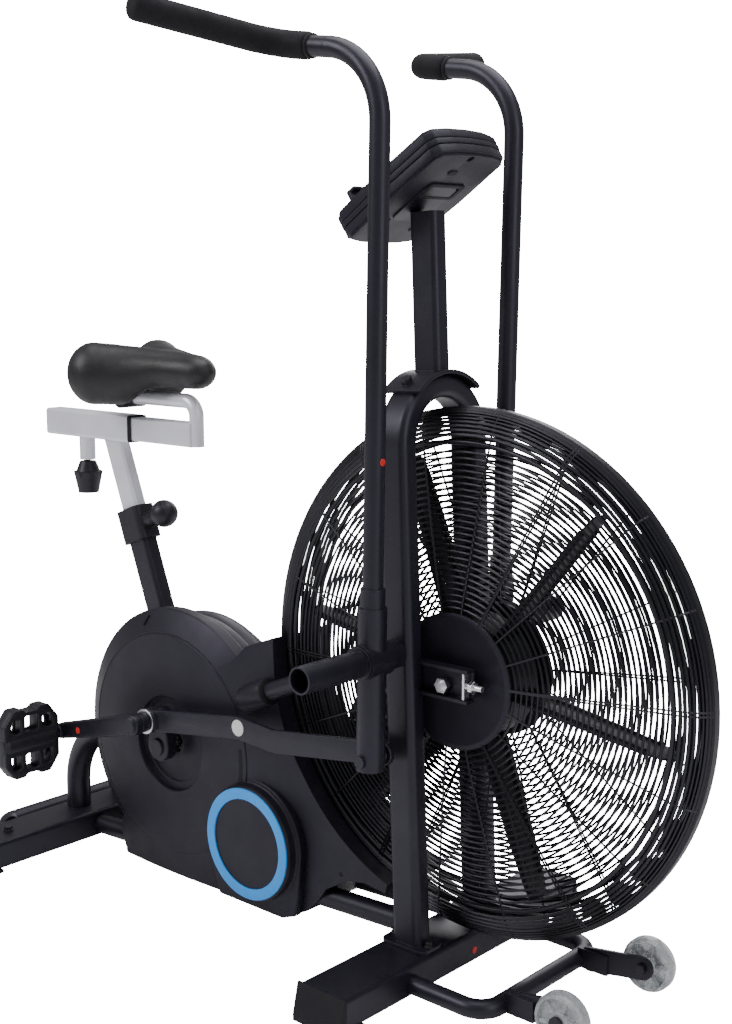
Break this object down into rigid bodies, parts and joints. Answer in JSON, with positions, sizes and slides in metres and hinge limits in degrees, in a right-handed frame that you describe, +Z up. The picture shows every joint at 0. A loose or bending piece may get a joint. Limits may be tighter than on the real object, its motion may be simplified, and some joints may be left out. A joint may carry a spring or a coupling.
{
  "type": "air bike",
  "caption": "Stationary exercise bike with a wire-caged fan in front, swinging handle levers linked to the pedal cranks, a sliding saddle and a tilted console on a mast.",
  "frame": {"origin": "on the floor, at the middle of the bounding box in X and Y", "axes": "+X forward to the fan, +Y to the rider's left, +Z up"},
  "size_m": [1.204, 0.6496, 1.2153],
  "materials": {
    "frame_paint": "satin powder coat",
    "rubber": "matte",
    "foam": "matte foam",
    "black_steel": "satin",
    "shell": "satin",
    "screen": "gloss",
    "blue": "gloss",
    "wire": "semi-gloss",
    "zinc": "zinc plated",
    "knob": "satin",
    "belt": "matte",
    "pedal": "satin",
    "blade": "satin",
    "silver_paint": "metallic",
    "saddle": "satin vinyl",
    "wheel": "translucent",
    "button": "matte"
  },
  "bodies": {
    "frame": {"base_rails": "frame_paint", "rear_uprights": "frame_paint", "seat_tube": "frame_paint", "upper_stays": "frame_paint", "fork_arch": "frame_paint", "front_stabilizer": "frame_paint", "rear_stabilizer": "frame_paint", "end_caps": "rubber", "rear_rail": "frame_paint", "wheel_bar": "frame_paint", "frame_bolts": "black_steel", "console_mast": "frame_paint", "console_back": "shell", "console_front": "shell", "console_screen": "screen", "right_cover": "shell", "left_cover": "shell", "right_badge": "shell", "badge_ring": "blue", "cover_screws": "black_steel", "belt_guard": "shell", "cage_right": "wire", "cage_left": "wire", "cage_band": "wire", "hub_discs": "shell", "fan_axle": "zinc", "axle_brackets": "frame_paint", "axle_tensioners": "zinc", "lever_stubs": "zinc", "foot_pegs": "frame_paint", "seat_collar": "knob", "bottom_bearings": "zinc", "jack_bracket": "frame_paint", "first_belt": "belt", "second_belt": "belt"},
    "crank": {"crank_axle": "zinc", "drive_pulley": "black_steel", "right_crank": "frame_paint", "left_crank": "frame_paint"},
    "right_pedal_body": {"right_pedal": "pedal"},
    "left_pedal_body": {"left_pedal": "pedal"},
    "right_link_body": {"right_link": "frame_paint"},
    "left_link_body": {"left_link": "frame_paint"},
    "right_lever_body": {"right_lever": "frame_paint", "right_grip": "foam"},
    "left_lever_body": {"left_lever": "frame_paint", "left_grip": "foam"},
    "jack": {"jack_shaft": "zinc"},
    "fan": {"fan_rotor": "blade", "fan_hub": "blade"},
    "seat_post_body": {"seat_post": "silver_paint"},
    "seat_body": {"seat_slider": "silver_paint", "saddle_clamp": "knob", "saddle": "saddle"},
    "post_knob_body": {"post_knob": "knob"},
    "slider_knob_body": {"slider_knob": "knob"},
    "right_wheel_body": {"right_wheel": "wheel"},
    "left_wheel_body": {"left_wheel": "wheel"},
    "right_button_body": {"right_button": "button"},
    "left_button_body": {"left_button": "button"}
  },
  "joints": [
    {"name": "crank_spin", "type": "hinge", "parent": "frame", "child": "crank", "pos_m": [-0.253, 0, 0.211], "axis": [0, 1, 0], "continuous": true},
    {"name": "right_pedal_spin", "type": "hinge", "parent": "crank", "child": "right_pedal_body", "pos_m": [-0.423, -0.2, 0.211], "axis": [0, 1, 0], "continuous": true},
    {"name": "left_pedal_spin", "type": "hinge", "parent": "crank", "child": "left_pedal_body", "pos_m": [-0.083, 0.2, 0.211], "axis": [0, 1, 0], "continuous": true},
    {"name": "right_link_turn", "type": "hinge", "parent": "crank", "child": "right_link_body", "pos_m": [-0.253, -0.105, 0.255], "axis": [0, 1, 0], "continuous": true},
    {"name": "left_link_turn", "type": "hinge", "parent": "crank", "child": "left_link_body", "pos_m": [-0.253, 0.105, 0.167], "axis": [0, 1, 0], "continuous": true},
    {"name": "jack_spin", "type": "hinge", "parent": "frame", "child": "jack", "pos_m": [-0.079, 0, 0.108], "axis": [0, 1, 0], "continuous": true},
    {"name": "fan_spin", "type": "hinge", "parent": "frame", "child": "fan", "pos_m": [0.262, 0, 0.397], "axis": [0, 1, 0], "continuous": true},
    {"name": "right_lever_swing", "type": "hinge", "parent": "frame", "child": "right_lever_body", "pos_m": [0.202, -0.13, 0.431], "axis": [0, 1, 0], "range_deg": [-20, 20]},
    {"name": "left_lever_swing", "type": "hinge", "parent": "frame", "child": "left_lever_body", "pos_m": [0.202, 0.13, 0.431], "axis": [0, 1, 0], "range_deg": [-20, 20]},
    {"name": "seat_height", "type": "slide", "parent": "frame", "child": "seat_post_body", "axis": [-0.3567, 0, 0.9342], "range_m": [-0.08, 0.07]},
    {"name": "seat_reach", "type": "slide", "parent": "seat_post_body", "child": "seat_body", "axis": [1, 0, 0], "range_m": [-0.03, 0.05]},
    {"name": "post_pin_pull", "type": "slide", "parent": "frame", "child": "post_knob_body", "axis": [0.9342, 0, 0.3567], "range_m": [0, 0.01], "stiffness_N_per_m": 900},
    {"name": "reach_knob_turn", "type": "hinge", "parent": "seat_post_body", "child": "slider_knob_body", "pos_m": [-0.519, 0, 0.6], "axis": [0, 0, 1], "range_deg": [-360, 0]},
    {"name": "right_wheel_spin", "type": "hinge", "parent": "frame", "child": "right_wheel_body", "pos_m": [0.469, -0.096, 0.04], "axis": [0, 1, 0], "continuous": true},
    {"name": "left_wheel_spin", "type": "hinge", "parent": "frame", "child": "left_wheel_body", "pos_m": [0.469, 0.096, 0.04], "axis": [0, 1, 0], "continuous": true},
    {"name": "right_button_press", "type": "slide", "parent": "frame", "child": "right_button_body", "axis": [0.5417, 0, -0.8406], "range_m": [0, 0.002], "stiffness_N_per_m": 400},
    {"name": "left_button_press", "type": "slide", "parent": "frame", "child": "left_button_body", "axis": [0.5417, 0, -0.8406], "range_m": [0, 0.002], "stiffness_N_per_m": 400}
  ],
  "couplings": [
    {"joint": "right_link_turn", "follows": "crank_spin", "ratio": -1},
    {"joint": "left_link_turn", "follows": "crank_spin", "ratio": -1},
    {"joint": "jack_spin", "follows": "crank_spin", "ratio": 3.5714},
    {"joint": "fan_spin", "follows": "crank_spin", "ratio": 7.1429},
    {"joint": "left_lever_swing", "follows": "right_lever_swing", "ratio": -1}
  ]
}
